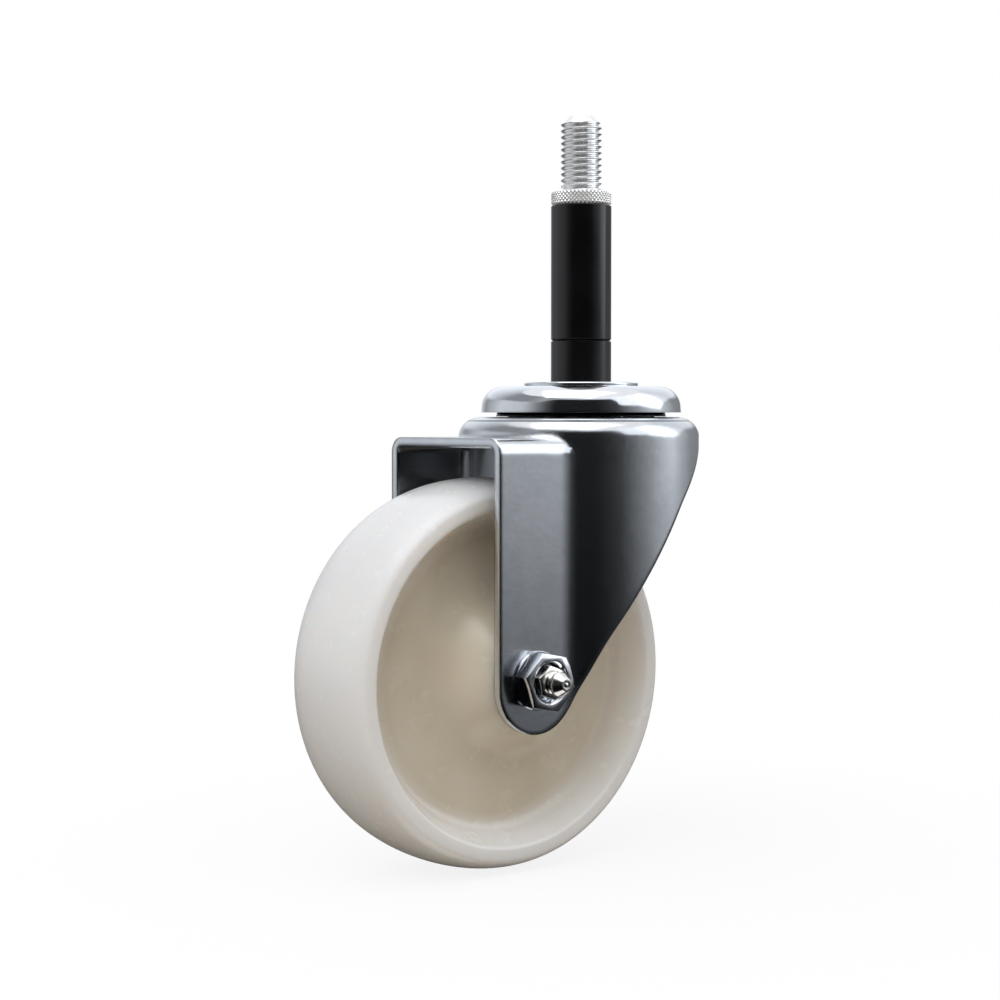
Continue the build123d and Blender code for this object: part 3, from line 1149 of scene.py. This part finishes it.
    def floor(self) -> None:
        """Pale floor under the wheel that keeps a soft shadow."""
        choose()
        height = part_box("wheel")[0].z - self.floor_gap
        bpy.ops.mesh.primitive_plane_add(size=self.floor_size, location=(0, 0, height))
        floor = bpy.context.object
        floor.name = "floor"
        shader = Shader("floor")
        seen = shader.node("LightPath").outputs["Is Camera Ray"]
        colour = shader.mix("RGBA", seen, self.floor_bounce, self.floor_seen)
        matt = shader.node("BsdfDiffuse", Color=colour)
        white = shader.node("Emission", Color=WHITE, Strength=1.0)
        away = shader.length(shader.place())
        share = shader.spread(away, *self.floor_white, *self.floor_fade)
        share = shader.combine("MULTIPLY", seen, share)
        shader.close(shader.mix_shaders(share, matt.outputs[0], white.outputs[0]))
        floor.data.materials.append(shader.material)
        floor.visible_glossy = False

    def around(self, shader: Shader, turn: Socket, levels: list[float], tint: Colour) -> Socket:
        """The panels' levels, or another of their values, as a colour round the screen.

        Args:
            shader: The screen's shader.
            turn: The socket that runs from 0 to 1 round the screen.
            levels: One value from each panel.
            tint: What the values are multiplied by.

        Returns:
            The socket with the colour.
        """
        stops = []
        for panel, level in zip(self.panels, levels):
            stops.append(((panel.azimuth + 90) / 360, tuple(level * part for part in tint)))
        return shader.ramp(turn, stops)

    def screen(self) -> None:
        """Round screen that only polished surfaces see, dark before the caster."""
        choose()
        tall = self.screen_high - self.screen_low
        bpy.ops.mesh.primitive_cylinder_add(
            vertices=ROUND_SIDES,
            radius=self.screen_radius,
            depth=tall,
            end_fill_type="NOTHING",
            location=(0, 0, self.screen_low + tall / 2),
        )
        screen = bpy.context.object
        screen.name = "mirrored_screen"
        bpy.ops.object.transform_apply(location=True)
        screen.data.materials.append(self.screen_shader().material)
        screen.visible_camera = False
        screen.visible_diffuse = False
        screen.visible_transmission = False
        screen.visible_shadow = False

    def screen_shader(self) -> Shader:
        """The screen's glow: panels side by side, each with a lower and an upper part.

        Returns:
            The finished shader.
        """
        shader = Shader("mirrored_screen")
        place = shader.node("TexCoord").outputs["Object"]
        sweep = shader.node("TexGradient", Vector=place)
        sweep.gradient_type = "RADIAL"
        turn = sweep.outputs["Fac"]
        lows = [panel.low / self.brightest for panel in self.panels]
        highs = [panel.high / self.brightest for panel in self.panels]
        low = self.around(shader, turn, lows, self.tint)
        edge = self.around(shader, turn, [panel.edge for panel in self.panels], WHITE)
        high = self.around(shader, turn, highs, self.tint)
        height = shader.parts(place)["Z"]
        deepest = self.ground[0][0]
        stops = [(depth - deepest, (left,) * 3) for depth, left in self.ground]
        left = shader.ramp(shader.spread(height, 0.0, 1.0, deepest, 0.0), stops)
        below = shader.mix("RGBA", 1.0, low, left, "MULTIPLY")
        over = shader.combine("SUBTRACT", height, edge)
        colour = shader.mix("RGBA", shader.spread(over, 0.0, 1.0, *self.edge_blur), below, high)
        light = shader.node("Emission", Color=colour, Strength=self.brightest)
        shader.close(light.outputs[0])
        shader.material.cycles.emission_sampling = "NONE"
        return shader

    def build(self) -> None:
        """Set up the whole studio."""
        self.camera()
        self.world()
        self.floor()
        self.screen()
        for lamp in self.lamps:
            lamp.hang()
        bpy.context.scene.view_settings.view_transform = "Standard"


def main() -> None:
    """Build the caster's looks from top to bottom."""
    logging.basicConfig(level=logging.INFO, format="%(name)s: %(message)s")
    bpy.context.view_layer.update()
    wardrobe = Wardrobe(FINISHES)
    wardrobe.dress_nodes()
    Studio().build()
    Stem().build(wardrobe)
    SwivelHead().build(wardrobe)
    Fork().build(wardrobe)
    Wheel().build(wardrobe)
    AxleSet().build(wardrobe)
    choose()


if __name__ == "__main__":
    main()
